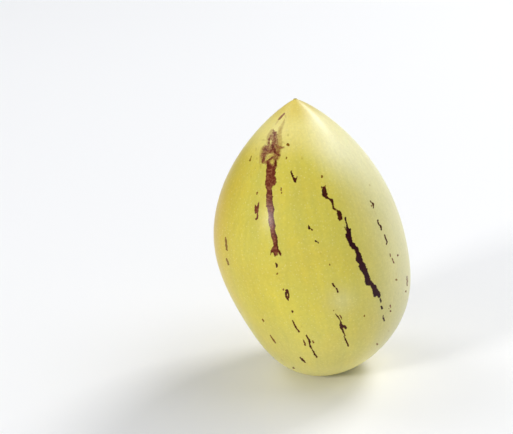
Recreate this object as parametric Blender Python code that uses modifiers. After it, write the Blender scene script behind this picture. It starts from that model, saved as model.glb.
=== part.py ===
# Pepino melon, one solid in metres with +Z up, standing on its broad stem end.
# A turned egg profile is swayed a little about its centre line, made slightly out of round,
# leaned, and cut level where it rests. The origin is under the middle of its bounding box.

import math

import bmesh
import bpy
from mathutils import Matrix, Vector

PART_NAME = "pepino_melon"

# Driving dimensions
FRUIT_LENGTH = 0.1083  # stem end to pointed end, before the foot is cut
FRUIT_DIAMETER = 0.0720  # at the widest section
WIDEST_SHARE = 0.463  # height of the widest section, as a share of the length
STEM_HALF_POWER = 0.482  # 0.5 would make the lower half an ellipse, and less is fuller
POINTED_HALF_POWER = 0.833  # a larger power draws the upper half in to a point
FLAT_DEPTH = 0.0017  # how much of the stem end the resting flat takes away

# Irregularity of a grown fruit
SWAY = 0.0046  # how far the lower part of the centre line sways to the right
SWAY_CENTRE = 0.206  # share of the length where it sways most
SWAY_REACH = 0.239  # share of the length over which the sway dies away
TIP_SWAY = 0.0014  # how far the pointed end turns to the right
TIP_SWAY_START = 0.69  # share of the length where that turn begins
OVAL_SHARE = 0.007  # long and short diameters differ from the mean by this share
OVAL_TURN = math.radians(65.0)
LOBE_SHARE = 0.004  # three very soft lobes around the fruit
LOBE_TURN = math.radians(20.0)
LEAN_LEFT = math.radians(4.0)
LEAN_BACK = math.radians(2.5)

# Scars at the two ends
STYLE_NUB_RADIUS = 0.0009  # dry stub of the flower's style, at the pointed end
STYLE_NUB_HEIGHT = 0.0005
STEM_SCAR_RADIUS = 0.0034  # dished scar where the stem came away
STEM_SCAR_WALL = 0.0004  # upright wall of the scar, from the resting flat
STEM_SCAR_DISH = 0.0010  # rise of its domed floor above that wall
STEM_SCAR_STEPS = 4

# Mesh density
TURN_STEPS = 60
HALF_PROFILE_STEPS = 20
SLIVER = 0.00004  # edges shorter than this, left by the cut, are closed up

SKIN_COLOUR = (0.68, 0.60, 0.11)
SKIN_ROUGHNESS = 0.38


def body_radius(share):
    """Radius of the fruit at a height given as a share of its length."""
    if share > WIDEST_SHARE:
        reach = (share - WIDEST_SHARE) / (1.0 - WIDEST_SHARE)
        power = POINTED_HALF_POWER
    else:
        reach = (WIDEST_SHARE - share) / WIDEST_SHARE
        power = STEM_HALF_POWER
    return FRUIT_DIAMETER / 2 * (1.0 - reach * reach) ** power


def height_share(radius, upper):
    """Height share at which the given half of the body has this radius."""
    power = POINTED_HALF_POWER if upper else STEM_HALF_POWER
    reach = math.sqrt(1.0 - (2 * radius / FRUIT_DIAMETER) ** (1.0 / power))
    if upper:
        return WIDEST_SHARE + reach * (1.0 - WIDEST_SHARE)
    return WIDEST_SHARE - reach * WIDEST_SHARE


def profile_points():
    """Outer side of the fruit from the pointed end down to the floor of the stem scar."""
    nub_base = height_share(STYLE_NUB_RADIUS, upper=True) * FRUIT_LENGTH
    points = [
        (0.0, nub_base + STYLE_NUB_HEIGHT),
        (0.6 * STYLE_NUB_RADIUS, nub_base + 0.85 * STYLE_NUB_HEIGHT),
        (STYLE_NUB_RADIUS, nub_base),
    ]
    top = height_share(STYLE_NUB_RADIUS, upper=True)
    scar_rim = height_share(STEM_SCAR_RADIUS, upper=False)
    top_angle = math.asin((top - WIDEST_SHARE) / (1.0 - WIDEST_SHARE))
    rim_angle = math.asin((WIDEST_SHARE - scar_rim) / WIDEST_SHARE)
    for step in range(1, HALF_PROFILE_STEPS):
        angle = top_angle * (1.0 - step / HALF_PROFILE_STEPS)
        share = WIDEST_SHARE + math.sin(angle) * (1.0 - WIDEST_SHARE)
        points.append((body_radius(share), share * FRUIT_LENGTH))
    for step in range(HALF_PROFILE_STEPS + 1):
        share = WIDEST_SHARE - math.sin(rim_angle * step / HALF_PROFILE_STEPS) * WIDEST_SHARE
        points.append((body_radius(share), share * FRUIT_LENGTH))
    # Inside the scar's rim an upright wall meets a floor that is a quarter of an ellipse.
    for step in range(STEM_SCAR_STEPS + 1):
        angle = math.pi / 2 * step / STEM_SCAR_STEPS
        height = FLAT_DEPTH + STEM_SCAR_WALL + STEM_SCAR_DISH * math.sin(angle)
        points.append((STEM_SCAR_RADIUS * math.cos(angle), height))
    return points


def turned_body(collection):
    """Screw the profile into a closed body and return it with the modifier applied."""
    mesh = bpy.data.meshes.new("fruit_profile")
    points = [Vector((radius, 0.0, height)) for radius, height in profile_points()]
    edges = [(index, index + 1) for index in range(len(points) - 1)]
    mesh.from_pydata(points, edges, [])
    profile = bpy.data.objects.new("fruit_profile", mesh)
    collection.objects.link(profile)

    turn = profile.modifiers.new("Turn", "SCREW")
    turn.steps = TURN_STEPS
    turn.render_steps = TURN_STEPS
    turn.use_merge_vertices = True
    turn.merge_threshold = 0.00001

    evaluated = profile.evaluated_get(bpy.context.evaluated_depsgraph_get())
    turned_mesh = bpy.data.meshes.new_from_object(evaluated)
    turned_mesh.name = PART_NAME
    body = bpy.data.objects.new(PART_NAME, turned_mesh)
    collection.objects.link(body)
    bpy.data.objects.remove(profile)
    bpy.data.meshes.remove(mesh)
    return body


def grown_offset(point):
    """Move one point of the turned body to where the grown, slightly irregular fruit has it."""
    share = point.z / FRUIT_LENGTH
    around = math.atan2(point.y, point.x)
    out_of_round = OVAL_SHARE * math.cos(2 * (around - OVAL_TURN))
    out_of_round += LOBE_SHARE * math.cos(3 * (around - LOBE_TURN))
    sway = SWAY * math.exp(-(((share - SWAY_CENTRE) / SWAY_REACH) ** 2))
    sway += TIP_SWAY * max(0.0, (share - TIP_SWAY_START) / (1.0 - TIP_SWAY_START)) ** 2
    return Vector((
        point.x * (1.0 + out_of_round) + sway,
        point.y * (1.0 + out_of_round),
        point.z,
    ))


def shape_and_lean(body):
    """Apply the irregularity, then lean the fruit about its stem end."""
    for vertex in body.data.vertices:
        vertex.co = grown_offset(vertex.co)
    upright = Vector((0.0, 0.0, 1.0))
    axis = Vector((-math.sin(LEAN_LEFT), math.sin(LEAN_BACK), 0.0))
    axis.z = math.sqrt(1.0 - axis.length_squared)
    body.data.transform(upright.rotation_difference(axis).to_matrix().to_4x4())


def lowest_height(body):
    return min(vertex.co.z for vertex in body.data.vertices)


def add_foot_cutter(body, collection):
    """A block whose top face is the level of the resting flat."""
    level = lowest_height(body) + FLAT_DEPTH
    bpy.ops.mesh.primitive_cube_add(size=FRUIT_DIAMETER)
    cutter = bpy.context.object
    cutter.name = "foot_cutter"
    for owner in list(cutter.users_collection):
        owner.objects.unlink(cutter)
    collection.objects.link(cutter)
    cutter.data.transform(Matrix.Translation((0.0, 0.0, level - FRUIT_DIAMETER / 2)))
    cutter.hide_render = True
    cutter.display_type = "WIRE"
    return cutter


def cut_foot(body, cutter):
    """Boolean the level flat and keep its result as the body's mesh."""
    foot = body.modifiers.new("Resting flat", "BOOLEAN")
    foot.operation = "DIFFERENCE"
    foot.solver = "EXACT"
    foot.object = cutter
    evaluated = body.evaluated_get(bpy.context.evaluated_depsgraph_get())
    cut_mesh = bpy.data.meshes.new_from_object(evaluated)
    cut_mesh.name = PART_NAME
    body.modifiers.remove(foot)
    old_mesh = body.data
    body.data = cut_mesh
    bpy.data.meshes.remove(old_mesh)


def close_slivers(body):
    """Merge the cut's shortest edges and keep the resting flat exactly level."""
    work = bmesh.new()
    work.from_mesh(body.data)
    bmesh.ops.remove_doubles(work, verts=work.verts, dist=SLIVER)
    level = min(vertex.co.z for vertex in work.verts)
    for vertex in work.verts:
        if vertex.co.z < level + SLIVER:
            vertex.co.z = level
    work.to_mesh(body.data)
    work.free()


def stand_over_origin(body, cutter):
    """Put the middle of the bounding box's underside at the origin."""
    corners = [vertex.co for vertex in body.data.vertices]
    low = Vector([min(corner[axis] for corner in corners) for axis in range(3)])
    high = Vector([max(corner[axis] for corner in corners) for axis in range(3)])
    shift = Matrix.Translation((-(low.x + high.x) / 2, -(low.y + high.y) / 2, -low.z))
    body.data.transform(shift)
    cutter.data.transform(shift)


def skin_material():
    material = bpy.data.materials.new("pepino_skin")
    material.use_nodes = True
    shader = material.node_tree.nodes["Principled BSDF"]
    shader.inputs["Base Color"].default_value = (*SKIN_COLOUR, 1.0)
    shader.inputs["Roughness"].default_value = SKIN_ROUGHNESS
    shader.inputs["Metallic"].default_value = 0.0
    material.diffuse_color = (*SKIN_COLOUR, 1.0)
    return material


def main():
    for item in list(bpy.data.objects):
        bpy.data.objects.remove(item)
    part = bpy.data.collections.new("pepino melon")
    cutters = bpy.data.collections.new("cutters")
    bpy.context.scene.collection.children.link(part)
    bpy.context.scene.collection.children.link(cutters)

    body = turned_body(part)
    shape_and_lean(body)
    cutter = add_foot_cutter(body, cutters)
    cut_foot(body, cutter)
    close_slivers(body)
    stand_over_origin(body, cutter)
    body.data.materials.clear()
    body.data.materials.append(skin_material())
    body.data.shade_smooth()
    body.data.set_sharp_from_angle(angle=math.radians(15.0))


main()
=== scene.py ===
import math
import random

import bmesh
import bpy
import numpy as np
from mathutils import Matrix, Vector


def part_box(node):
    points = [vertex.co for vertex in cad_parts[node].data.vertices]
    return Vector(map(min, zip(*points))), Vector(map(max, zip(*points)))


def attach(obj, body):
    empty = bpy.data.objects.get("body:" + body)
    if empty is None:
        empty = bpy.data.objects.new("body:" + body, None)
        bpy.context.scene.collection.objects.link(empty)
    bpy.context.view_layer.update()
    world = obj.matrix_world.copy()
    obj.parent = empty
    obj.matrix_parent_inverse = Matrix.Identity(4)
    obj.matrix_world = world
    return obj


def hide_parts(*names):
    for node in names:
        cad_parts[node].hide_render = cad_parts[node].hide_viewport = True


# A ripe pepino melon that stands on its broad stem end, on white paper under soft lights
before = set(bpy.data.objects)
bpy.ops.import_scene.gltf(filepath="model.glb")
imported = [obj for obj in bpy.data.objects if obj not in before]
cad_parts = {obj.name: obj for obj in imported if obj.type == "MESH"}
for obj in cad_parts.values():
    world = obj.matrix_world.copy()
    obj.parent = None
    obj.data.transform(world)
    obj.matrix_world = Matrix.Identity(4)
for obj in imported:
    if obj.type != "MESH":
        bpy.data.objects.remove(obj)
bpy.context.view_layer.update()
scene = bpy.context.scene
scene.view_settings.view_transform = "Standard"


# Camera: a short telephoto look down on the standing fruit
view = dict(
    lens=100.0,
    sensor=36.0,
    elevation=21.0,
    roll=-2.4,
    distance=0.5370,
    aim=(0.0, 0.0, 0.05),
    aimPixel=(312.1, 244.0),  # where that point lands in the picture
    picture=(513, 434),
)


def cameraAxes():
    rise = math.radians(view["elevation"])
    roll = math.radians(view["roll"])
    forward = Vector((0.0, math.cos(rise), -math.sin(rise)))
    level = Vector((1.0, 0.0, 0.0))
    above = level.cross(forward)
    right = level * math.cos(roll) + above * math.sin(roll)
    up = above * math.cos(roll) - level * math.sin(roll)
    pixels = view["lens"] / view["sensor"] * view["picture"][0]  # focal length in pixels
    across = (view["aimPixel"][0] - view["picture"][0] / 2) / pixels
    down = (view["aimPixel"][1] - view["picture"][1] / 2) / pixels
    place = Vector(view["aim"]) - view["distance"] * (forward + across * right - down * up)
    return place, right, up, forward, pixels


def addCamera():
    place, right, up, forward, _ = cameraAxes()
    data = bpy.data.cameras.new("studioCamera")
    data.lens = view["lens"]
    data.sensor_width = view["sensor"]
    camera = bpy.data.objects.new("studioCamera", data)
    scene.collection.objects.link(camera)
    turn = Matrix((right, up, -forward)).transposed().to_4x4()
    camera.matrix_world = Matrix.Translation(place) @ turn
    scene.camera = camera
    print("camera placed")


def toPicture(points):
    # pixel place of each point, as the camera sees it
    place, right, up, forward, pixels = cameraAxes()
    offset = points - np.array(place)
    away = offset @ np.array(forward)
    across = view["picture"][0] / 2 + pixels * (offset @ np.array(right)) / away
    down = view["picture"][1] / 2 - pixels * (offset @ np.array(up)) / away
    return np.stack([across, down], axis=1)


# The fruit's form, the same numbers as its solid: lengths in metres, angles in degrees, and
# heights as shares of the length
fruit = dict(
    length=0.1083,
    diameter=0.0720,
    widest=0.463,  # height of the widest section as a share of the length
    stemPower=0.482,
    pointPower=0.833,
    flatDepth=0.0017,
    sway=0.0046,
    swayCentre=0.206,
    swayReach=0.239,
    tipSway=0.0014,
    tipSwayStart=0.69,
    oval=0.007,
    ovalTurn=65.0,
    lobe=0.004,
    lobeTurn=20.0,
    leanLeft=4.0,
    leanBack=2.5,
    nubRadius=0.0009,
    nubHeight=0.0005,
    scarRadius=0.0034,
    scarWall=0.0004,
    scarDish=0.0010,
    turnSteps=216,
    halfRows=62,
    nubRows=6,
    scarRows=8,
    mergeGap=1e-6,
    sharpAngle=35.0,
)


def bodyRadius(share):
    share = np.asarray(share, float)
    widest = fruit["widest"]
    reach = np.where(share > widest, (share - widest) / (1.0 - widest), (widest - share) / widest)
    power = np.where(share > widest, fruit["pointPower"], fruit["stemPower"])
    return fruit["diameter"] / 2 * np.clip(1.0 - reach * reach, 0.0, 1.0) ** power


def shareAt(radius, power):
    return math.sqrt(1.0 - (2 * radius / fruit["diameter"]) ** (1.0 / power))


def profile():
    # from the top of the nub down the side to the middle of the scar under the stem end
    length, widest, rows = fruit["length"], fruit["widest"], fruit["halfRows"]
    nubRadius, nubRows, scarRows = fruit["nubRadius"], fruit["nubRows"], fruit["scarRows"]
    topReach = shareAt(nubRadius, fruit["pointPower"])
    rimReach = shareAt(fruit["scarRadius"], fruit["stemPower"])
    nubBase = (widest + topReach * (1.0 - widest)) * length
    points = []
    for step in range(nubRows):
        angle = math.pi / 2 * step / nubRows
        height = nubBase + fruit["nubHeight"] * math.cos(angle)
        points.append((nubRadius * math.sin(angle), height))
    for step in range(rows):
        share = widest + math.sin(math.asin(topReach) * (1.0 - step / rows)) * (1.0 - widest)
        points.append((float(bodyRadius(share)), share * length))
    for step in range(rows + 1):
        share = widest - math.sin(math.asin(rimReach) * step / rows) * widest
        points.append((float(bodyRadius(share)), share * length))
    for step in range(scarRows + 1):
        angle = math.pi / 2 * step / scarRows
        height = fruit["flatDepth"] + fruit["scarWall"] + fruit["scarDish"] * math.sin(angle)
        points.append((fruit["scarRadius"] * math.cos(angle), height))
    return points


def turnedFruit():
    work = bmesh.new()
    verts = [work.verts.new((radius, 0.0, height)) for radius, height in profile()]
    edges = [work.edges.new(pair) for pair in zip(verts, verts[1:])]
    bmesh.ops.spin(
        work, geom=verts + edges, cent=(0, 0, 0), axis=(0, 0, 1),
        angle=2 * math.pi, steps=fruit["turnSteps"], use_merge=True,
    )
    bmesh.ops.remove_doubles(work, verts=work.verts, dist=fruit["mergeGap"])
    bmesh.ops.recalc_face_normals(work, faces=work.faces)
    return work


def grown(points):
    # out of round, swayed and leaned, as the solid is
    share = points[:, 2] / fruit["length"]
    around = np.arctan2(points[:, 1], points[:, 0])
    swell = 1.0 + fruit["oval"] * np.cos(2 * (around - math.radians(fruit["ovalTurn"])))
    swell += fruit["lobe"] * np.cos(3 * (around - math.radians(fruit["lobeTurn"])))
    sway = fruit["sway"] * np.exp(-(((share - fruit["swayCentre"]) / fruit["swayReach"]) ** 2))
    start = fruit["tipSwayStart"]
    sway += fruit["tipSway"] * np.maximum(0.0, (share - start) / (1.0 - start)) ** 2
    moved = np.stack([points[:, 0] * swell + sway, points[:, 1] * swell, points[:, 2]], axis=1)
    leanLeft, leanBack = math.radians(fruit["leanLeft"]), math.radians(fruit["leanBack"])
    axis = Vector((-math.sin(leanLeft), math.sin(leanBack), 0.0))
    axis.z = math.sqrt(1.0 - axis.length_squared)
    lean = np.array(Vector((0.0, 0.0, 1.0)).rotation_difference(axis).to_matrix())
    return moved @ lean.T


def standingShift(points):
    # brings the middle and the tip of the grown fruit to where the solid has them
    low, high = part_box("pepino_melon")
    mine = grown(points)
    return np.array([
        (low.x + high.x) / 2 - (mine[:, 0].min() + mine[:, 0].max()) / 2,
        (low.y + high.y) / 2 - (mine[:, 1].min() + mine[:, 1].max()) / 2,
        high.z - mine[:, 2].max(),
    ])


def coordinates(work):
    return np.array([vert.co[:] for vert in work.verts])


# Markings on the side that the camera sees: (tone, route), a route being across, down, half width
# in pixels of the picture. Tone 0 is tan, 1 is almost black purple.
leftStreak = [
    (0.46, [
        (284.8, 113.2, 0.5), (282.9, 115, 0.8), (281.2, 117, 1.1), (279.4, 118.9, 0.7),
        (278.2, 119.8, 0.4),
    ]),
    (0.62, [(274.8, 156.0, 0.8), (272.5, 157.8, 1.15), (270.0, 159.6, 1.2), (267.4, 161, 1.0)]),
    (0.80, [(276, 263.2, 0.8), (277, 265, 1.0), (276.6, 267.3, 0.9)]),
    (0.30, [(277, 273, 0.8), (277.2, 274, 0.8)]),
    (0.08, [(276, 275.5, 0.4), (279.5, 279, 0.4), (283, 282, 0.4)]),
    (0.45, [(283.4, 289, 0.8), (283.6, 290, 0.8)]),
    (0.85, [
        (285.6, 290.2, 0.6), (287.3, 290.3, 1.2), (288.2, 292.5, 0.9), (289, 295, 0.8),
        (288.6, 297, 1.0), (287.5, 298.8, 1.1), (288.4, 300.6, 0.6),
    ]),
    (0.85, [(287.3, 290.8, 1.0), (286, 293.3, 1.4), (285.8, 295.2, 0.9), (286.8, 297.3, 1.2)]),
    (0.80, [(292.3, 311.2, 1.1), (292.4, 311.8, 1.1)]),
    (0.75, [
        (292.3, 320.3, 0.5), (293.5, 322.8, 0.7), (294.7, 325.5, 0.9), (295.7, 327.5, 0.9),
        (297.2, 329.3, 0.8), (299.2, 331.7, 0.9),
    ]),
    (0.12, [(301.5, 326, 0.9), (301.6, 326.8, 0.9)]),
    (0.85, [
        (306.4, 335.2, 0.8), (307.5, 337.5, 0.9), (309, 340, 1.0), (309.7, 342, 1.2), (309.6, 344, 0.8),
        (310.6, 347, 0.9), (311.4, 348.3, 0.8), (312.2, 349.5, 0.5), (313.5, 351.8, 0.9),
        (314.5, 354.2, 0.9), (316.8, 357, 0.8),
    ]),
    (0.70, [(303.3, 339.8, 0.3), (304.4, 342.2, 0.8), (305.4, 345, 0.9)]),
    (0.60, [(312.5, 341, 0.7), (313.7, 342.6, 0.8)]),
    (0.80, [(300.4, 357.7, 0.8), (302.5, 359.8, 1.1), (304.6, 361.6, 1.0), (305.5, 362.4, 0.5)]),
    (0.36, [(270.3, 335.3, 0.5), (272, 338, 0.7), (273.5, 340.3, 0.9), (275.5, 342.7, 0.6)]),
    (0.20, [(281.3, 359.3, 0.8), (283.2, 361.3, 0.5)]),
    (0.30, [(293.3, 367.7, 1.0), (294.5, 368.3, 0.6)]),
]
rightStreak = [
    (0.80, [(321.9, 187.2, 0.9), (321.9, 187.8, 0.9)]),
    (0.30, [(325.2, 185.3, 0.5), (325.2, 187.2, 0.6)]),
    (1.00, [
        (324.1, 188.3, 1.9), (324.3, 191.5, 2.5), (324.6, 194.5, 2.8), (326.3, 197.3, 1.6),
        (328.5, 198.3, 0.9), (330, 199.2, 1.2), (331.6, 200, 1.7), (332.5, 202.3, 1.2),
        (332.9, 205, 0.9), (333.2, 207, 1.0), (334.3, 209.3, 1.2), (336.3, 209.7, 0.8),
        (337.8, 210.8, 1.1), (339.0, 212.6, 2.1), (339.8, 215.5, 2.5), (340.1, 218, 2.5),
        (340.2, 219.8, 1.1),
    ]),
    (1.00, [
        (345.2, 217.8, 1.1), (345.4, 220, 0.9), (346.4, 223, 0.8), (347.3, 226, 0.9), (347.5, 229, 1.5),
    ]),
    (1.00, [(344.4, 227.3, 0.6), (345.7, 228.8, 0.7)]),
    (1.00, [(380.2, 299, 0.9), (380.9, 300.5, 1.0), (380.8, 302, 0.6)]),
    (1.00, [(381.3, 306.5, 0.8), (382.2, 308.5, 1.1)]),
    (0.95, [(383, 315.5, 0.5), (383.2, 318, 0.9), (384.2, 320.5, 0.8)]),
]
rightEdgeMarks = [
    (0.85, [
        (370.2, 200.8, 0.5), (371.5, 202.5, 0.6), (373.2, 204, 1.0), (373.4, 205.5, 0.7),
        (373.6, 208, 0.6),
    ]),
    (0.20, [(374.5, 211, 0.5), (376.5, 215.5, 0.4)]),
    (0.30, [(371.5, 205.7, 0.6), (371.6, 206.3, 0.6)]),
    (0.95, [
        (377.8, 220, 0.6), (378.1, 222.5, 0.9), (379, 224.6, 0.8), (380.3, 225.5, 1.0),
        (381.2, 228, 1.0), (381.3, 229.5, 0.8),
    ]),
    (0.85, [
        (384.7, 234.5, 0.5), (385.2, 237, 0.6), (386.2, 240, 0.8), (387, 241.8, 0.7),
        (386.4, 244.3, 0.7),
    ]),
    (0.60, [(389.9, 253.5, 0.4), (390.4, 256.5, 0.5)]),
    (0.60, [(397.8, 255, 0.9), (397.8, 255.6, 0.9)]),
    (0.60, [(392.2, 258, 0.4), (392.9, 260.5, 0.5), (393.8, 263, 0.5)]),
    (0.15, [(396, 273, 0.6), (396.3, 275.5, 0.5)]),
    (0.25, [(396.5, 279.5, 0.8), (396.5, 280.1, 0.8)]),
    (0.30, [(407.0, 276, 0.4), (407.2, 281, 0.6), (407.1, 286, 0.5)]),
    (0.24, [(405.9, 291.2, 0.7), (405.9, 291.8, 0.7)]),
    (0.10, [(405.2, 300.2, 0.6), (405.2, 300.8, 0.6)]),
    (0.60, [(390.4, 305, 0.5), (390.4, 307.5, 0.6)]),
    (0.35, [(388.9, 308.5, 0.5), (388.9, 309.1, 0.5)]),
    (0.60, [(390.6, 310.7, 0.7), (390.6, 311.3, 0.7)]),
    (0.20, [(388.8, 330.5, 0.9), (388.8, 331.1, 0.9)]),
    (0.30, [(377.2, 344, 0.9), (377.2, 344.6, 0.9)]),
    (0.28, [(364.3, 315.5, 0.8), (364.3, 316.1, 0.8)]),
    (0.15, [(369.6, 184.7, 1.1), (369.6, 185.3, 1.1)]),
    (0.28, [(329.7, 264.2, 0.7), (329.7, 264.8, 0.7)]),
]
middleMarks = [
    (0.85, [
        (291.6, 170.5, 0.6), (291.2, 172.5, 0.9), (292.3, 175, 0.8), (293.2, 177.5, 1.0),
        (295, 179.8, 1.8), (295.2, 181.6, 1.2),
    ]),
    (0.85, [(295.2, 180, 1.2), (296.6, 178.3, 0.9), (297, 176.5, 0.4)]),
    (0.85, [(293, 175.4, 0.6), (294, 175.8, 0.6)]),
    (0.28, [(322, 176.2, 1.1), (322, 176.8, 1.1)]),
    (0.36, [(287.6, 144.4, 1.3), (288.9, 145.4, 1.0)]),
    (0.24, [(286.5, 157.2, 0.7), (286.3, 158.6, 0.8)]),
    (0.45, [(281.1, 188, 0.8), (281.1, 190, 0.8)]),
    (0.40, [(281.5, 192.5, 0.7), (281.5, 193.1, 0.7)]),
    (0.95, [(308.5, 225, 0.5), (309, 227, 1.0), (309.3, 228.6, 1.3)]),
    (0.70, [(310.8, 228.7, 0.6), (312.4, 230.2, 0.8)]),
    (0.15, [(306, 231, 0.7), (306, 231.6, 0.7)]),
    (0.90, [(315.2, 240.7, 0.7), (316, 241.6, 1.0), (317.5, 241.9, 0.7), (318.5, 243.3, 0.4)]),
    (0.12, [(320.7, 253.2, 1.0), (320.7, 253.8, 1.0)]),
    (0.85, [
        (332.5, 283.2, 0.8), (333.5, 285, 1.1), (334.5, 286.5, 0.8), (335.3, 287.3, 0.3),
        (336.5, 288.5, 0.7), (337.4, 290.5, 0.9), (338, 292.3, 0.9),
    ]),
    (0.25, [(333.3, 310.4, 0.7), (333.3, 311, 0.7)]),
    (0.10, [(336.9, 309, 0.9), (336.9, 309.6, 0.9)]),
    (0.90, [
        (335.8, 314.2, 0.6), (337.2, 316, 0.9), (338.6, 317.7, 0.7), (339.8, 319.5, 0.5),
        (340.3, 321, 0.6), (341, 322.8, 1.0), (341, 325, 1.8), (342.5, 326.5, 1.8), (344.5, 326.3, 1.4),
        (345.7, 328, 1.2), (346, 329, 0.6),
    ]),
    (0.90, [(341, 327.5, 1.2), (342.5, 329.8, 1.0), (343.5, 332.5, 0.9), (345, 335.3, 0.6)]),
    (0.70, [(339.8, 315, 0.5), (341, 317, 0.7), (341.8, 319, 0.6)]),
    (0.85, [(344.4, 336.8, 0.7), (345.6, 340, 0.9), (347.3, 343.3, 0.9), (348.3, 345.8, 0.9)]),
]
leftMarks = [
    (0.60, [(255.1, 204.8, 0.6), (255.7, 207.5, 1.3), (256.3, 210, 1.8), (255.8, 212.5, 1.3)]),
    (0.60, [
        (258.9, 202.3, 0.5), (258.2, 205, 0.9), (257.6, 208, 1.2), (257.4, 211, 1.2),
        (257.3, 213.3, 0.6), (257.6, 216, 0.8), (257.2, 218.5, 0.9), (256.2, 219.4, 0.9),
        (255.5, 218.7, 0.5),
    ]),
    (0.40, [(257.2, 192.5, 0.9), (256.6, 194.5, 0.5)]),
    (0.12, [(256, 148, 1.0), (256, 150.3, 1.0)]),
    (0.23, [(251.5, 156, 0.4), (249.8, 160.8, 0.7)]),
    (0.20, [(250, 163.7, 0.5), (250, 164.3, 0.5)]),
    (0.08, [(256.8, 158.2, 1.2), (256.8, 158.8, 1.2)]),
    (0.12, [(255.5, 168.2, 0.8), (255.5, 168.8, 0.8)]),
    (0.15, [(260.8, 165.9, 0.9), (260.8, 166.5, 0.9)]),
    (0.20, [(251, 174.7, 0.8), (251, 177.3, 0.8)]),
    (0.08, [(288, 134.7, 1.3), (288, 135.3, 1.3)]),
    (0.08, [(302, 157.7, 1.5), (302, 158.3, 1.5)]),
    (0.28, [
        (225.5, 237.5, 0.6), (225.9, 241, 0.9), (226.4, 245, 1.0), (226.7, 249, 0.9),
        (227.3, 250.3, 0.5),
    ]),
    (0.28, [(226.5, 258.7, 0.7), (227.6, 261.5, 0.9), (228.5, 264.2, 0.9)]),
    (0.10, [(231, 277.2, 0.8), (231, 277.8, 0.8)]),
    (0.08, [(232.5, 286.7, 0.8), (232.5, 287.3, 0.8)]),
    (0.20, [(239.5, 310.5, 0.9), (240.5, 313, 0.6)]),
    (0.35, [(262.5, 319.3, 0.9), (263.7, 321.5, 0.7)]),
]

# Soft stains under the skin: (tone, strength, route)
stains = [
    (0.32, 0.50, [
        (284.6, 119, 0.7), (283.8, 122, 1.3), (282.2, 125.5, 1.9), (280.2, 129, 2.5), (279.6, 133, 2.6),
        (279.6, 138, 2.6), (280, 143, 2.6), (280.2, 147, 2.6),
    ]),
    (0.27, 0.62, [(279.8, 148.5, 1.8), (279.6, 152, 2.0), (279, 156, 2.0), (278, 160, 1.3)]),
    (0.36, 0.42, [(265.5, 159, 1.4), (268, 157.5, 2.0), (271, 156.5, 2.0), (274, 155, 1.6)]),
    (0.36, 0.36, [(272.3, 160, 1.5), (272.2, 163, 1.4)]),
    (0.25, 0.40, [(285.3, 115.5, 1.1), (286, 117.5, 0.9)]),
    (0.15, 0.45, [(284.6, 120.5, 0.7), (284.3, 123, 0.8)]),
    (0.40, 0.35, [(279, 119.5, 1.0), (277, 122, 1.2), (275.5, 124.5, 0.9)]),
    (0.38, 0.45, [(281.5, 147.5, 1.8), (284, 147.3, 1.3)]),
    (0.22, 0.40, [(282.5, 142, 1.5), (284.5, 143, 1.1)]),
    (0.42, 0.45, [(272, 130, 1.5), (269.5, 134, 1.8), (268, 138, 2.0), (267.5, 142.5, 1.8)]),
    (0.42, 0.45, [
        (265.5, 145.5, 1.6), (262, 148.5, 1.8), (261, 153, 1.8), (260.3, 158, 1.6), (260, 163, 1.2),
    ]),
    (0.20, 0.35, [(260.5, 164.5, 1.3), (260.8, 168, 1.0)]),
    (0.22, 0.30, [(262, 139.8, 1.1), (266.5, 140.3, 1.2)]),
]

# Darker or lighter places inside the marks: (tone, route)
shades = [
    (0.63, [
        (272.8, 143, 1.2), (272.6, 147, 1.8), (273.8, 150, 1.8), (275.3, 151.5, 1.6), (276.8, 154, 1.2),
        (278.6, 155, 1.0),
    ]),
    (0.62, [(275.2, 133, 1.2), (274.6, 135.2, 1.1)]),
    (0.56, [(274.3, 137, 1.8), (274.8, 142, 1.8)]),
    (0.55, [(266, 148, 2.4), (264.5, 152, 2.4), (263.3, 155, 1.8)]),
    (0.60, [(266.5, 149.5, 1.3), (267.8, 151.5, 1.2), (270.5, 151.8, 1.0)]),
    (0.60, [(264.5, 156, 1.3), (263.3, 159.5, 1.5), (262, 162.5, 1.0)]),
    (0.58, [(269, 138, 1.1), (269.8, 140.5, 1.0)]),
    (0.68, [(267.5, 162, 1.5), (269.5, 165.5, 1.8), (269, 169, 1.2)]),
    (0.74, [(275.8, 160, 0.8), (275.6, 165, 1.3), (275, 169, 1.0), (275.3, 173, 1.0)]),
    (0.80, [
        (272.3, 186, 0.6), (271.6, 192, 0.7), (272.3, 197, 0.8), (272.2, 202, 0.7), (273.6, 208, 0.8),
        (273.5, 212, 0.7), (272.9, 217, 0.7), (274, 221.5, 0.8), (274.9, 226, 0.8), (275.2, 232, 0.9),
        (276.6, 236.5, 1.1), (277.2, 241, 1.1), (277.3, 246, 1.2), (278, 250, 1.2), (280.4, 253.5, 1.0),
        (280.8, 256, 0.8),
    ]),
    (0.76, [(273.5, 251, 0.7), (271.5, 253, 0.8), (270.3, 255, 0.6)]),
    (0.86, [
        (324.3, 188.3, 2), (325, 194.5, 3), (331.6, 200, 2), (333.2, 207, 2), (339.8, 214, 2.4),
        (340.2, 219.8, 2),
    ]),
]

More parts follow.
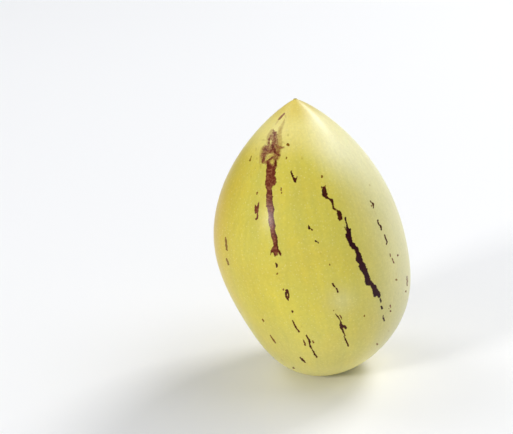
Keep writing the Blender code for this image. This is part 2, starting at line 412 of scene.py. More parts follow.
# Patches are outlines in the same pixels: the mottled head of the left streak, its solid band,
# and the solid band of the right streak
mottledHead = [
    (273.3, 129.3), (274.3, 131), (276.5, 131.5), (277.8, 134), (277.3, 137.5), (277.8, 141),
    (278.3, 144), (280, 146.3), (283.5, 146.8), (283, 148.3), (280.3, 149.5), (279.8, 153), (280.2, 156),
    (278.5, 157.5), (277.3, 159.5), (276.8, 162), (277, 167), (275.5, 169), (275, 171), (272, 168),
    (266, 164), (262.7, 163.3), (261.8, 163.5), (261.2, 161), (260.8, 158), (261, 154.5), (262, 151),
    (262.5, 147.5), (265, 146), (267.8, 145), (268, 142), (268.3, 137.5), (270.5, 134.3), (271.8, 132),
    (273, 129.3),
]
headHoles = [
    [(270.8, 139.2), (271.9, 142), (270.9, 145.2), (269.8, 142)],
    [
        (265.2, 160.2), (265.5, 157.8), (266.8, 155.2), (270, 154), (273.3, 153.8), (273.8, 155),
        (272.3, 157.5), (270, 159.3), (267, 159.8),
    ],
    [(272.4, 158.7), (273.8, 160.4), (273.6, 163), (272.2, 163.9), (270.8, 162.6), (270.9, 160)],
]
leftBand = [
    (265.8, 160.5), (266.8, 165), (266.3, 170), (265.8, 175), (265.3, 180), (265.2, 185), (265.8, 188.5),
    (266.8, 190.5), (266.3, 195), (266, 200), (266.2, 206), (267.3, 209), (267.8, 213), (268.3, 217),
    (268.5, 223), (269.8, 228), (270.5, 233), (271.8, 238), (272.8, 242), (273.5, 245.5), (272, 248),
    (270.5, 250.5), (270, 253), (270.3, 255.3), (271.3, 254), (272.3, 252.5), (273.8, 253), (274, 255),
    (274.7, 256.7), (276, 255.8), (277.8, 255.5), (278, 252.5), (279, 253.5), (280, 256), (281.3, 256),
    (281.8, 253), (280.5, 251), (278.7, 249.3), (278.3, 246.5), (277.7, 244), (277.8, 240), (277.3, 236),
    (275.8, 232.5), (275, 230), (275.6, 226), (274.7, 221), (273.7, 217.5), (273.3, 214.5), (274.3, 211),
    (274.5, 208), (273.3, 205), (272.7, 201), (272.9, 196), (272, 192), (271.8, 188.5), (272.8, 186),
    (275, 185.3), (276.5, 182), (276.2, 178.5), (274.8, 175.5), (276, 173), (275.3, 170), (276.5, 167.5),
    (276.8, 163), (276, 160.5), (274.5, 161), (273.7, 164), (271.5, 164), (270.3, 162), (269.5, 159.7),
    (267.5, 160.3),
]
rightBand = [
    (346.5, 228.5), (346, 229.5), (347, 233), (345.5, 234.3), (346.2, 238), (347.5, 240.5), (349, 243),
    (349.5, 245.5), (351, 247), (351.5, 249), (353, 248.7), (355, 250), (356.5, 254), (356.3, 257),
    (355.7, 259.5), (357, 262), (359, 263.5), (358.7, 266.5), (360, 269), (361.5, 271.5), (364, 274.5),
    (364.8, 279), (365.3, 283), (366.8, 285.5), (368.5, 285.5), (370.3, 284.7), (371.5, 288),
    (372.7, 291), (373.5, 295), (374, 297), (375.2, 297), (377, 296), (379.5, 298), (380, 297.5),
    (380.3, 294.5), (379.5, 291.5), (378.3, 290.8), (377.3, 289), (376, 285.5), (374, 284), (372, 282),
    (370.5, 279), (369.5, 276), (368.2, 273), (367, 270.5), (367.8, 269.5), (366.5, 268.3), (365.4, 266),
    (365, 263.5), (363.5, 263), (362.3, 260), (361.5, 256), (359.5, 252), (358.3, 249.5), (358.2, 247.5),
    (355.7, 246), (354.7, 243), (352.3, 242), (351.2, 236.5), (350.8, 233), (350.5, 228.5),
]

marking = dict(
    pixelsPerMm=2.6,
    farDepth=2.0,  # depth is kept between this far outside and inside a mark, in mm
    # tone of each patch, and how ragged it is
    head=(0.50, 1.0),
    leftBand=(0.60, 0.15),
    rightBand=(1.0, 0.30),
    rightBandGrowth=0.12,  # how far it is let out past its outline, in mm
    rightStreakRagged=0.3,  # the same for the strokes above and below that band
    shadeEdge=0.3,  # how far inside its edge a shade reaches its full tone, in mm
    stainBelow=0.22,  # marks fainter than this are drawn as stains
    faintLift=0.05,  # what such a stain gains in tone
    faintStrength=0.45,
    stainEdge=(-0.1, 0.45),  # depth at which a stain begins and is at its full strength, in mm
    fineReach=(0.62, 0.30),  # how near a mark's edge the mesh is split once and twice, in mm
    fineShares=(0.01, 0.985),  # between these heights the split mesh is put back on the round
)
farAway = 1e3


def routeDepth(points, route):
    # how deep each point lies inside a stroke of changing width, less than zero outside
    deepest = np.full(len(points), -farAway)
    for (ax, ay, aw), (bx, by, bw) in zip(route, route[1:]):
        run = np.array([bx - ax, by - ay])
        offset = points - np.array([ax, ay])
        along = np.clip(offset @ run / max(run @ run, 1e-9), 0.0, 1.0)
        gap = np.hypot(offset[:, 0] - along * run[0], offset[:, 1] - along * run[1])
        deepest = np.maximum(deepest, aw + (bw - aw) * along - gap)
    return deepest


def outlineDepth(points, outline):
    # the same for a closed outline
    edgeGap = np.full(len(points), farAway)
    inside = np.zeros(len(points), bool)
    for (ax, ay), (bx, by) in zip(outline, outline[1:] + outline[:1]):
        run = np.array([bx - ax, by - ay])
        offset = points - np.array([ax, ay])
        along = np.clip(offset @ run / max(run @ run, 1e-9), 0.0, 1.0)
        gap = np.hypot(offset[:, 0] - along * run[0], offset[:, 1] - along * run[1])
        edgeGap = np.minimum(edgeGap, gap)
        crosses = (ay > points[:, 1]) != (by > points[:, 1])
        slope = (bx - ax) / (by - ay) if by != ay else 0.0
        inside ^= crosses & (points[:, 0] < ax + (points[:, 1] - ay) * slope)
    return np.where(inside, edgeGap, -edgeGap)


class MarkMap:
    # keeps, for a set of surface points, the deepest mark or stain, its tone, and its grade:
    # how ragged a mark is, or how strong a stain
    def __init__(self, count):
        self.depth = np.full(count, -marking["farDepth"])
        self.tone = np.full(count, 0.5)
        self.grade = np.zeros(count)

    def add(self, chosen, depth, tone, grade=0.0):
        deeper = depth > self.depth[chosen]
        where = chosen[deeper]
        self.depth[where] = depth[deeper]
        self.tone[where] = tone
        self.grade[where] = grade

    def cut(self, chosen, depth):
        self.depth[chosen] = np.minimum(self.depth[chosen], -depth)

    def shade(self, chosen, depth, tone):
        part = np.clip(depth / marking["shadeEdge"], 0.0, 1.0)
        self.tone[chosen] += part * (tone - self.tone[chosen])


def near(points, route, reach):
    xs = [point[0] for point in route]
    ys = [point[1] for point in route]
    inBox = (points[:, 0] > min(xs) - reach) & (points[:, 0] < max(xs) + reach)
    inBox &= (points[:, 1] > min(ys) - reach) & (points[:, 1] < max(ys) + reach)
    return inBox


def drawSeenMarks(marks, stained, places, facing):
    scale = marking["pixelsPerMm"]
    spots = toPicture(places)
    reach = marking["farDepth"] * scale + 2  # pixels, with two to spare

    def under(shape, depthOf):
        chosen = np.flatnonzero(near(spots, shape, reach) & facing)
        return chosen, depthOf(spots[chosen], shape) / scale

    marks.add(*under(mottledHead, outlineDepth), *marking["head"])
    for hole in headHoles:
        marks.cut(*under(hole, outlineDepth))
    marks.add(*under(leftBand, outlineDepth), *marking["leftBand"])
    chosen, depth = under(rightBand, outlineDepth)
    marks.add(chosen, depth + marking["rightBandGrowth"], *marking["rightBand"])
    for tone, route in rightStreak:
        marks.add(*under(route, routeDepth), tone, marking["rightStreakRagged"])
    for tone, route in leftStreak + rightEdgeMarks + middleMarks + leftMarks:
        if tone < marking["stainBelow"]:
            faint = tone + marking["faintLift"]
            stained.add(*under(route, routeDepth), faint, marking["faintStrength"])
        else:
            marks.add(*under(route, routeDepth), tone)
    for tone, strength, route in stains:
        stained.add(*under(route, routeDepth), tone, strength)
    for tone, route in shades:
        chosen, depth = under(route, routeDepth)
        marks.shade(chosen, depth, tone)


# Broken streaks of the far side, each of them widest about its core and thinning to specks.
# Lengths are in mm across and up the skin, and a pair is the range that chance picks from.
hidden = dict(
    seed=41,
    streaks=[(26, 0.30), (54, 0.95), (83, 0.20), (109, 0.50), (138, 1.00), (167, 0.40)],  # angle, strength
    core=(40, 64),
    coreReach=17,
    start=(11, 20),
    top=95,
    offset=(-1.5, 1.5),
    length=(0.5, 3.2),
    coreLength=(3, 17),  # added at the core, as are the next two
    halfWidth=(0.20, 0.38),
    coreWidth=(0.3, 0.75),
    tone=(0.55, 0.85),
    coreTone=0.25,
    wander=(-0.30, 0.33),
    climb=(0.4, 0.9),
    uneven=(0.5, 1.35),
    endWidth=0.15,
    speckChance=0.45,
    speckOffset=2.4,
    speckLength=0.3,
    speckSize=(0.16, 0.30),
    speckTone=-0.2,
    gap=0.5,
    coreGap=1.0,
    moreGap=5.5,  # added to the mean gap where a streak is at its faintest
)


def hiddenMarks():
    # each mark as (angle, tone, route)
    dice = random.Random(hidden["seed"])

    def pick(name):
        return dice.uniform(*hidden[name])

    routes = []
    for angle, strength in hidden["streaks"]:
        core, height, across = pick("core"), pick("start"), pick("offset")
        while height < hidden["top"]:
            fullness = strength * math.exp(-(((height - core) / hidden["coreReach"]) ** 2))
            length = pick("length") + fullness * pick("coreLength")
            width = pick("halfWidth") + fullness * pick("coreWidth")
            tone = pick("tone") + hidden["coreTone"] * fullness
            route, climb = [], 0.0
            while climb < length:
                across += pick("wander")
                swell = 0.4 + 0.6 * math.sin(math.pi * climb / length)  # fuller in its middle
                route.append((across, height + climb, width * swell * pick("uneven")))
                climb += pick("climb")
            route.append((across, height + length, hidden["endWidth"]))
            routes.append((angle, tone, route))
            if dice.random() < hidden["speckChance"]:
                aside = hidden["speckOffset"]
                x, y = across + dice.uniform(-aside, aside), height + dice.uniform(0, length)
                size = pick("speckSize")
                speck = [(x, y, size), (x, y + hidden["speckLength"], size)]
                routes.append((angle, tone + hidden["speckTone"], speck))
            meanGap = hidden["coreGap"] + hidden["moreGap"] * (1 - fullness)
            height += length + hidden["gap"] + dice.expovariate(1 / meanGap)
    return routes


def drawHiddenMarks(marks, turned, facing):
    around = np.degrees(np.arctan2(turned[:, 1], turned[:, 0]))
    radius = np.hypot(turned[:, 0], turned[:, 1]) * 1000
    for angle, tone, route in hiddenMarks():
        across = np.radians((around - angle + 180) % 360 - 180) * radius
        spots = np.stack([across, turned[:, 2] * 1000], axis=1)
        chosen = np.flatnonzero(near(spots, route, marking["farDepth"]) & ~facing)
        marks.add(chosen, routeDepth(spots[chosen], route), tone)


def findMarks(work, shift):
    turned = coordinates(work)
    places = grown(turned) + shift
    work.normal_update()
    outward = np.array([vert.normal[:] for vert in work.verts])
    step = 1e-4  # metres, small enough to give the direction alone
    grownOutward = grown(turned + outward * step) - grown(turned)
    toCamera = np.array(cameraAxes()[0]) - places
    facing = np.einsum("ij,ij->i", grownOutward, toCamera) > 0
    marks, stained = MarkMap(len(turned)), MarkMap(len(turned))
    drawSeenMarks(marks, stained, places, facing)
    drawHiddenMarks(marks, turned, facing)
    return marks, stained


def splitNearMarks(work, shift):
    # the mesh gets finer along the marks' edges, so that they keep their ragged outlines
    lowest, highest = marking["fineShares"]
    for reach in marking["fineReach"]:
        marks, stained = findMarks(work, shift)
        close = (np.abs(marks.depth) < reach) | (np.abs(stained.depth) < reach)
        work.verts.index_update()
        chosen = [
            edge for edge in work.edges
            if close[edge.verts[0].index] or close[edge.verts[1].index]
        ]
        made = bmesh.ops.subdivide_edges(work, edges=chosen, cuts=1, use_grid_fill=True)
        for item in made["geom_inner"]:
            if not isinstance(item, bmesh.types.BMVert):
                continue
            share = item.co.z / fruit["length"]
            if lowest < share < highest:
                radius = float(bodyRadius(share))
                flat = Vector((item.co.x, item.co.y)).normalized() * radius
                item.co.x, item.co.y = flat
        work.verts.index_update()
    bmesh.ops.triangulate(work, faces=work.faces, quad_method="BEAUTY", ngon_method="BEAUTY")
    print("mesh refined along the marks")


# Painted light on the skin, and cork. The painted light is a golden reflection and shade on
# the left side, sheen on the right side, light from the floor at the stem end, and a highlight
# low on the front. A place is an angle around the fruit, its spread, a share of the height,
# and its reach; angles are in degrees, and a pair of shares or angles is where a change begins
# and where it is complete.
skinTonesAndPaintedLight = dict(
    golden=0.85,  # how far the painted golden reflection and shade on the left side goes to its own colour
    paintedReflectionPlace=(188, 28, 0.60, 0.26),
    paleStart=-72.0,
    paleFade=52.0,
    pointWider=26.0,  # the painted sheen starts so much earlier near the point
    pointShares=(0.70, 0.93),
    lowWider=6.0,  # and so much earlier in the lower half
    lowShares=(0.5, 0.3),
    paleEnd=(115.0, 60.0),
    stem=0.34,  # how pale the painted light from the floor makes the skin towards the stem end
    stemShares=(0.42, 0.03),
    patch=0.45,  # and the painted highlight, on a small patch low on the front
    paintedHighlightPlace=(-78, 9, 0.385, 0.05),
    veilStretch=4,  # how many times longer than wide the veils and threads are
    scarCork=(0.0041, 0.0006),  # radius at which the cork ends, and how softly, in metres
    scarBelow=0.2,
    nubCork=(0.0008, 0.0003),
    nubAbove=0.9,
    nubMost=0.8,
)


def sideShade(around, share, angle, spread, height, reach):
    # a soft patch on one side of the fruit, 1 in its middle
    apart = (np.degrees(around) - angle + 180) % 360 - 180
    return np.exp(-((apart / spread) ** 2)) * np.exp(-(((share - height) / reach) ** 2))


def ease(values, low, high):
    # 0 at low, 1 at high, and smooth between
    part = np.clip((values - low) / (high - low), 0.0, 1.0)
    return part * part * (3.0 - 2.0 * part)


def paintedSheenAmount(around, share):
    # how pale the skin is painted: painted sheen on the right side, wider near the point, a little
    # painted light from below at the stem end, and a painted highlight on a small patch low on the front
    angle = (np.degrees(around) + 180) % 360 - 180
    start = skinTonesAndPaintedLight["paleStart"] - skinTonesAndPaintedLight["pointWider"] * ease(share, *skinTonesAndPaintedLight["pointShares"])
    start = start - skinTonesAndPaintedLight["lowWider"] * ease(share, *skinTonesAndPaintedLight["lowShares"])
    side = ease(angle, start, start + skinTonesAndPaintedLight["paleFade"]) * ease(angle, *skinTonesAndPaintedLight["paleEnd"])
    stem = skinTonesAndPaintedLight["stem"] * ease(share, *skinTonesAndPaintedLight["stemShares"])
    patch = skinTonesAndPaintedLight["patch"] * sideShade(around, share, *skinTonesAndPaintedLight["paintedHighlightPlace"])
    return 1.0 - (1.0 - side) * (1.0 - stem) * (1.0 - patch)


def corkShade(radius, share):
    # dry, corky skin in and around the stem scar, and on the nub
    scarRadius, scarFade = skinTonesAndPaintedLight["scarCork"]
    nubRadius, nubFade = skinTonesAndPaintedLight["nubCork"]
    scar = np.clip((scarRadius - radius) / scarFade, 0.0, 1.0) * (share < skinTonesAndPaintedLight["scarBelow"])
    nub = np.clip((nubRadius - radius) / nubFade, 0.0, skinTonesAndPaintedLight["nubMost"])
    return np.maximum(scar, nub * (share > skinTonesAndPaintedLight["nubAbove"]))


def lengthwisePlace(around, turned):
    # mm coordinates squeezed along the fruit, so that a pattern on them runs lengthwise
    radius = fruit["diameter"] / 2 * 1000
    up = turned[:, 2] * 1000 / skinTonesAndPaintedLight["veilStretch"]
    return np.stack([radius * np.cos(around), radius * np.sin(around), up], axis=1)


def setAttribute(mesh, name, values):
    kind, field = ("FLOAT_VECTOR", "vector") if values.ndim == 2 else ("FLOAT", "value")
    layer = mesh.attributes.new(name, kind, "POINT")
    layer.data.foreach_set(field, values.astype(np.float32).ravel())


def makeFruit():
    work = turnedFruit()
    shift = standingShift(coordinates(work))
    splitNearMarks(work, shift)
    marks, stained = findMarks(work, shift)
    turned = coordinates(work)
    places = grown(turned) + shift
    places[:, 2] = np.maximum(places[:, 2], 0.0)  # pressed level where it rests
    for vert, place in zip(work.verts, places):
        vert.co = place
    mesh = bpy.data.meshes.new("pepinoFruit")
    work.to_mesh(mesh)
    work.free()
    mesh.shade_smooth()
    mesh.set_sharp_from_angle(angle=math.radians(fruit["sharpAngle"]))

    around = np.arctan2(turned[:, 1], turned[:, 0])
    share = turned[:, 2] / fruit["length"]
    radius = np.hypot(turned[:, 0], turned[:, 1])
    attributes = dict(
        markDepth=marks.depth,
        markTone=marks.tone,
        markRagged=marks.grade,
        stainAmount=stained.grade * ease(stained.depth, *marking["stainEdge"]),
        stainTone=stained.tone,
        lengthwise=lengthwisePlace(around, turned),
        heightShare=share,
        # a painted golden reflection, with painted shade, on the left side
        paintedReflectionSide=skinTonesAndPaintedLight["golden"] * sideShade(around, share, *skinTonesAndPaintedLight["paintedReflectionPlace"]),
        # painted sheen on the right side, painted light at the stem end and a painted highlight
        paintedSheenSide=paintedSheenAmount(around, share),
        cork=corkShade(radius, share),
    )
    for name, values in attributes.items():
        setAttribute(mesh, name, values)

    piece = bpy.data.objects.new("pepino_fruit", mesh)
    scene.collection.objects.link(piece)
    mesh.materials.append(pepinoSkin())
    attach(piece, "root")
    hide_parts("pepino_melon")
    print("fruit made:", len(mesh.polygons), "triangles")


def linear(code):
    # sRGB hex to the linear colour that the shader works in
    parts = [int(code[start:start + 2], 16) / 255 for start in (1, 3, 5)]
    return tuple(p / 12.92 if p <= 0.04045 else ((p + 0.055) / 1.055) ** 2.4 for p in parts) + (1.0,)


def addNode(tree, kind, inputs=None, stops=None, **settings):
    # an input is a value, a socket, or a node, of which the first output in use is then linked
    node = tree.nodes.new("ShaderNode" + kind)
    for name, value in settings.items():
        setattr(node, name, value)
    for socket, value in (inputs or {}).items():
        if isinstance(value, bpy.types.Node):
            value = next(output for output in value.outputs if output.enabled)
        if isinstance(value, bpy.types.NodeSocket):
            tree.links.new(value, node.inputs[socket])
        else:
            node.inputs[socket].default_value = value
    if stops:
        ramp = node.color_ramp
        while len(ramp.elements) < len(stops):
            ramp.elements.new(0.5)
        for element, (position, code) in zip(ramp.elements, stops):
            element.position = position
            element.color = linear(code)
    return node


# Ripe pepino skin: a thin, tight, waxy peel over pale flesh. It gives a satin gloss, a clear
# yellow with greener lengthwise veils, small pale pores, and flush purple streaks.
skin = dict(
    colours=dict(
        yellow="#DECE50",
        green="#CDC358",
        golden="#D8BA3A",
        pore="#F0E8A4",
        # painted golden reflection and shade on the left side
        paintedGoldenReflection="#C5A420",
        # painted sheen towards the point
        paintedCreamSheen="#F3E48E",
        # painted light from the floor at the stem end
        paintedStemLight="#F6EC94",
        markRim="#6B3F1C",
    ),
    # ramps, by share of the fruit's height, by tone, and by noise
    # colours of the painted sheen, lighter higher up the fruit towards the shoulder
    paintedSheenColours=[(0.22, "#D7D19B"), (0.64, "#DDD7A0"), (0.86, "#FAF4C0")],
    stainTones=[
        (0.0, "#B8A436"), (0.2, "#A08424"), (0.33, "#9E6E1E"), (0.46, "#96603A"), (0.6, "#804830"),
    ],
    markTones=[
        (0.0, "#B8A436"), (0.2, "#8A6A14"), (0.38, "#7C4E0C"), (0.5, "#98623C"),
        (0.62, "#6E2C18"), (0.76, "#542204"), (0.88, "#421402"), (1.0, "#2E0414"),
    ],
    corkTones=[(0.3, "#7A6A2E"), (0.7, "#B39C50")],
    # noise patterns: width in mm, detail, roughness
    patterns=dict(
        veils=(9, 3.0, 0.55),  # lengthwise, yellow against green
        threads=(1.3, 2.0, 0.5),  # lengthwise and fine
        clouds=(14, 2.0, 0.5),  # golden
        haze=(5, 3.0, 0.55),  # flesh seen through the peel
        grains=(1.0, 3.0, 0.6),  # the same, faint and fine
        blotches=(1.1, 3.0, 0.6),  # in the stains
        fray=(0.8, 3.0, 0.65),  # roughens the outlines of the marks
        mottle=(0.8, 3.0, 0.6),  # tones inside the marks
        speckles=(0.6, 4.0, 0.65),  # skin showing through ragged marks
        cork=(0.6, 3.0, 0.5),
        peel=(0.45, 2.0, 0.5),  # the real grain is finer, and is drawn this coarse so that it shows
    ),
    poreGap=1.0,  # mm from one pore to the next, each about a third as wide
    peelDepth=0.00006,  # in metres
    peelStrength=0.25,
    roughness=0.30,
    roughnessRange=0.04,
    corkRoughness=0.85,
    surface={
        "IOR": 1.5,
        "Specular IOR Level": 0.18,
        "Subsurface Weight": 0.08,
        "Subsurface Radius": (1.0, 0.7, 0.25),
        "Subsurface Scale": 0.0007,
    },
)


def pepinoSkin():
    material = bpy.data.materials.new("waxy pepino skin")
    material.use_nodes = True
    tree = material.node_tree
    shader = tree.nodes["Principled BSDF"]
    tint = {name: linear(code) for name, code in skin["colours"].items()}
    smooth = dict(interpolation_type="SMOOTHSTEP")
    rgba = dict(data_type="RGBA")  # such a Mix takes its share at 0 and its two colours at 6 and 7
    multiplied = dict(data_type="RGBA", blend_type="MULTIPLY")

    place = addNode(tree, "TexCoord").outputs["Object"]
    mm = addNode(tree, "Mapping", {"Vector": place, "Scale": (1000, 1000, 1000)})
    lengthwise = addNode(tree, "Attribute", attribute_name="lengthwise").outputs["Vector"]
    share, golden, pale, stain, stainTone, depth, tone, ragged, cork = [
        addNode(tree, "Attribute", attribute_name=name).outputs["Fac"]
        for name in (
            "heightShare", "paintedReflectionSide", "paintedSheenSide", "stainAmount", "stainTone",
            "markDepth", "markTone", "markRagged", "cork",
        )
    ]
    noise = {}
    for name, (width, detail, roughness) in skin["patterns"].items():
        noise[name] = addNode(tree, "TexNoise", {
            "Vector": lengthwise if name in ("veils", "threads") else mm,
            "Scale": 1 / width, "Detail": detail, "Roughness": roughness,
        })

    # yellow against green in veils, with golden clouds and the haze of the flesh
    veiled = addNode(tree, "MapRange", {"Value": noise["veils"], "From Min": 0.3, "From Max": 0.7})
    colour = addNode(tree, "Mix", {0: veiled, 6: tint["yellow"], 7: tint["green"]}, **rgba)
    clouded = addNode(tree, "MapRange", {
        "Value": noise["clouds"], "From Min": 0.45, "From Max": 0.8, "To Max": 0.35,
    })
    colour = addNode(tree, "Mix", {0: clouded, 6: colour, 7: tint["golden"]}, **rgba)
    hazed = addNode(tree, "MapRange", {
        "Value": noise["haze"], "From Min": 0.35, "From Max": 0.65, "To Max": 0.3,
    })
    colour = addNode(tree, "Mix", {0: hazed, 6: colour, 7: tint["green"]}, **rgba)

    # painted golden reflection and shade on the left side, and painted sheen on the right side
    colour = addNode(tree, "Mix", {0: golden, 6: colour, 7: tint["paintedGoldenReflection"]}, **rgba)
    paintedSheenColour = addNode(tree, "ValToRGB", {"Fac": share}, stops=skin["paintedSheenColours"])
    colour = addNode(tree, "Mix", {0: pale, 6: colour, 7: paintedSheenColour}, **rgba)

    # painted light at the stem end and painted cream sheen towards the point, which itself ripens golden
    stemLightPart = addNode(tree, "MapRange", {
        "Value": share, "From Min": 0.14, "From Max": 0.03, "To Max": 0.8,
    }, **smooth)
    colour = addNode(tree, "Mix", {0: stemLightPart, 6: colour, 7: tint["paintedStemLight"]}, **rgba)
    # painted cream sheen, weaker where the painted sheen of the side is already strong
    creamSheenMost = addNode(tree, "MapRange", {"Value": pale, "To Min": 0.8, "To Max": 0.35})
    creamSheenPart = addNode(tree, "MapRange", {
        "Value": share, "From Min": 0.82, "From Max": 0.93, "To Max": creamSheenMost,
    }, **smooth)
    colour = addNode(tree, "Mix", {0: creamSheenPart, 6: colour, 7: tint["paintedCreamSheen"]}, **rgba)
    tipWarmth = addNode(tree, "MapRange", {
        "Value": share, "From Min": 0.925, "From Max": 0.98, "To Max": 0.50,
    }, **smooth)
    colour = addNode(tree, "Mix", {0: tipWarmth, 6: colour, 7: tint["golden"]}, **rgba)

    # fine tone changes, which show on the painted sheen too
    veilShade = addNode(tree, "MapRange", {
        "Value": noise["veils"], "From Min": 0.3, "From Max": 0.7, "To Min": 1.02, "To Max": 0.97,
    })
    colour = addNode(tree, "Mix", {0: pale, 6: colour, 7: veilShade}, **multiplied)
    for name, darkest, lightest in (("threads", 0.975, 1.02), ("grains", 0.95, 1.045)):
        fineShade = addNode(tree, "MapRange", {
            "Value": noise[name], "From Min": 0.3, "From Max": 0.7,
            "To Min": darkest, "To Max": lightest,
        })
        colour = addNode(tree, "Mix", {0: 1.0, 6: colour, 7: fineShade}, **multiplied)

    # pores, some paler than others
    pores = addNode(tree, "TexVoronoi", {
        "Vector": mm, "Scale": 1 / skin["poreGap"], "Randomness": 1.0,
    })
    poreShape = addNode(tree, "MapRange", {
        "Value": pores.outputs["Distance"], "From Min": 0.08, "From Max": 0.40,
        "To Min": 0.36, "To Max": 0.0,
    }, **smooth)
    poreChance = addNode(tree, "SeparateColor", {0: pores.outputs["Color"]})
    pore = addNode(tree, "Math", {0: poreShape, 1: poreChance}, operation="MULTIPLY")
    colour = addNode(tree, "Mix", {0: pore, 6: colour, 7: tint["pore"]}, **rgba)

    # soft stains under the skin
    blotch = addNode(tree, "MapRange", {
        "Value": noise["blotches"], "From Min": 0.3, "From Max": 0.65, "To Min": 0.5, "To Max": 1.3,
    })
    stained = addNode(tree, "Math", {0: stain, 1: blotch}, operation="MULTIPLY", use_clamp=True)
    stainColour = addNode(tree, "ValToRGB", {"Fac": stainTone}, stops=skin["stainTones"])
    colour = addNode(tree, "Mix", {0: stained, 6: colour, 7: stainColour}, **rgba)

    # purple streaks: depth below zero is clear skin, and fine noise roughens the outline
    frayCentred = addNode(tree, "Math", {0: noise["fray"], 1: 0.5}, operation="SUBTRACT")
    frayReach = addNode(tree, "MapRange", {"Value": ragged, "To Min": 0.85, "To Max": 1.8})
    frayed = addNode(tree, "Math", {
        0: frayCentred, 1: frayReach, 2: depth,
    }, operation="MULTIPLY_ADD")
    softness = addNode(tree, "MapRange", {"Value": ragged, "To Min": 0.07, "To Max": 0.30})
    sharpened = addNode(tree, "Math", {0: frayed, 1: softness}, operation="DIVIDE")
    inMark = addNode(tree, "MapRange", {
        "Value": sharpened, "From Min": -1.0, "From Max": 1.0,
    }, **smooth)
    mottleCentred = addNode(tree, "Math", {0: noise["mottle"], 1: 0.5}, operation="SUBTRACT")
    mottleReach = addNode(tree, "MapRange", {"Value": ragged, "To Min": 0.5, "To Max": 0.85})
    toned = addNode(tree, "Math", {
        0: mottleCentred, 1: mottleReach, 2: tone,
    }, operation="MULTIPLY_ADD")
    markColour = addNode(tree, "ValToRGB", {"Fac": toned}, stops=skin["markTones"])
    # the edge of a dark and clean mark is browner than its middle
    rim = addNode(tree, "MapRange", {
        "Value": frayed, "From Min": 0.02, "From Max": 0.22, "To Min": 0.6, "To Max": 0.0,
    }, **smooth)
    rimTone = addNode(tree, "MapRange", {"Value": tone, "From Min": 0.3, "From Max": 0.6})
    rimmed = addNode(tree, "Math", {0: rim, 1: rimTone}, operation="MULTIPLY")
    clean = addNode(tree, "Math", {0: 1.0, 1: ragged}, operation="SUBTRACT", use_clamp=True)
    rimmed = addNode(tree, "Math", {0: rimmed, 1: clean}, operation="MULTIPLY")
    markColour = addNode(tree, "Mix", {0: rimmed, 6: markColour, 7: tint["markRim"]}, **rgba)
    # where a mark is ragged the skin shows through it in speckles, least where it is dark
    speckle = addNode(tree, "MapRange", {
        "Value": noise["speckles"], "From Min": 0.38, "From Max": 0.58, "To Min": 0.62, "To Max": 1.0,
    })
    density = addNode(tree, "MapRange", {
        "Value": tone, "From Min": 0.5, "From Max": 0.62, "To Max": 0.4,
    })
    dense = addNode(tree, "Math", {0: speckle, 1: density}, operation="ADD", use_clamp=True)
    opacity = addNode(tree, "Mix", {0: ragged, 2: 1.0, 3: dense}, data_type="FLOAT")
    shown = addNode(tree, "Math", {0: inMark, 1: opacity}, operation="MULTIPLY")
    colour = addNode(tree, "Mix", {0: shown, 6: colour, 7: markColour}, **rgba)

    # corky tissue at the stem scar and on the dry nub
    corkColour = addNode(tree, "ValToRGB", {"Fac": noise["cork"]}, stops=skin["corkTones"])
    colour = addNode(tree, "Mix", {0: cork, 6: colour, 7: corkColour}, **rgba)
    tree.links.new(colour.outputs[2], shader.inputs["Base Color"])

    # satin gloss, a little uneven, smoother on the streaks and dull on the cork
    base, spread = skin["roughness"], skin["roughnessRange"]
    gloss = addNode(tree, "MapRange", {
        "Value": noise["threads"], "To Min": base - spread, "To Max": base + spread,
    })
    smoother = addNode(tree, "Math", {0: shown, 1: -spread, 2: gloss}, operation="MULTIPLY_ADD")
    dull = addNode(tree, "Mix", {0: cork, 2: smoother, 3: skin["corkRoughness"]}, data_type="FLOAT")
    tree.links.new(dull.outputs[0], shader.inputs["Roughness"])

    # the peel's texture is fine and very shallow
    bump = addNode(tree, "Bump", {
        "Height": noise["peel"], "Strength": skin["peelStrength"], "Distance": skin["peelDepth"],
    })
    tree.links.new(bump.outputs[0], shader.inputs["Normal"])
    for name, value in skin["surface"].items():
        shader.inputs[name].default_value = value
    print("skin mixed")
    return material


# Studio: a pale floor that runs on to the horizon, and soft lights
studio = dict(
    floorRadius=6.0,
    floorColour="#F4F3F1",
    surroundColour="#E2ECFF",
    surroundStrength=0.26,
    floorSides=96,
    floorRoughness=0.6,
    lampAim=0.055,  # height that the lamps point at
)
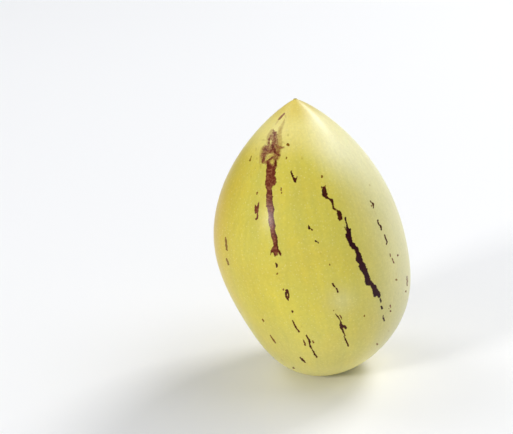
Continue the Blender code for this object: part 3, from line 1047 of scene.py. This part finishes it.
# Each lamp: azimuth (0 towards the camera, + to its right), elevation, distance, width, height,
# and how many times brighter than white paper in the room it looks
lamps = {
    "backRight": (134, 43, 2.1, 0.80, 0.48, 18.5),
    "overRight": (90, 56, 2.4, 1.90, 1.40, 2.0),
    "rightSide": (95, 30, 2.4, 1.90, 1.40, 0.15),
    "rightLow": (125, 12, 2.4, 2.00, 0.80, 0.15),
    "leftSpot": (-53, 21, 2.1, 0.42, 0.32, 44.0),
    "front": (0, 48, 2.6, 2.60, 2.00, 0.20),
    "frontLow": (8, 7, 2.6, 3.40, 0.60, 1.35),
    "backLeft": (-120, 50, 2.1, 0.94, 0.94, 3.0),
}


def addStudio():
    work = bmesh.new()
    bmesh.ops.create_circle(
        work, cap_ends=True, radius=studio["floorRadius"], segments=studio["floorSides"],
    )
    mesh = bpy.data.meshes.new("studioFloor")
    work.to_mesh(mesh)
    work.free()
    floor = bpy.data.objects.new("studioFloor", mesh)
    scene.collection.objects.link(floor)
    # matt white paper scatters light evenly, so it has no gloss and its shadows are soft
    paper = bpy.data.materials.new("matt white paper sweep")
    paper.use_nodes = True
    shader = paper.node_tree.nodes["Principled BSDF"]
    shader.inputs["Base Color"].default_value = linear(studio["floorColour"])
    shader.inputs["Roughness"].default_value = studio["floorRoughness"]
    mesh.materials.append(paper)

    world = bpy.data.worlds.new("studioSurround")
    world.use_nodes = True
    background = world.node_tree.nodes["Background"]
    background.inputs["Color"].default_value = linear(studio["surroundColour"])
    background.inputs["Strength"].default_value = studio["surroundStrength"]
    scene.world = world

    target = Vector((0.0, 0.0, studio["lampAim"]))
    for name, (azimuth, elevation, distance, width, height, brightness) in lamps.items():
        turn, rise = math.radians(azimuth), math.radians(elevation)
        level = math.cos(rise)
        towards = Vector((math.sin(turn) * level, -math.cos(turn) * level, math.sin(rise)))
        data = bpy.data.lights.new(name, "AREA")
        data.shape = "RECTANGLE"
        data.size = width
        data.size_y = height
        data.energy = math.pi * width * height * brightness
        lamp = bpy.data.objects.new(name, data)
        lamp.location = target + towards * distance
        lamp.rotation_euler = towards.to_track_quat("Z", "Y").to_euler()
        scene.collection.objects.link(lamp)
    print("studio lit")


addCamera()
makeFruit()
addStudio()
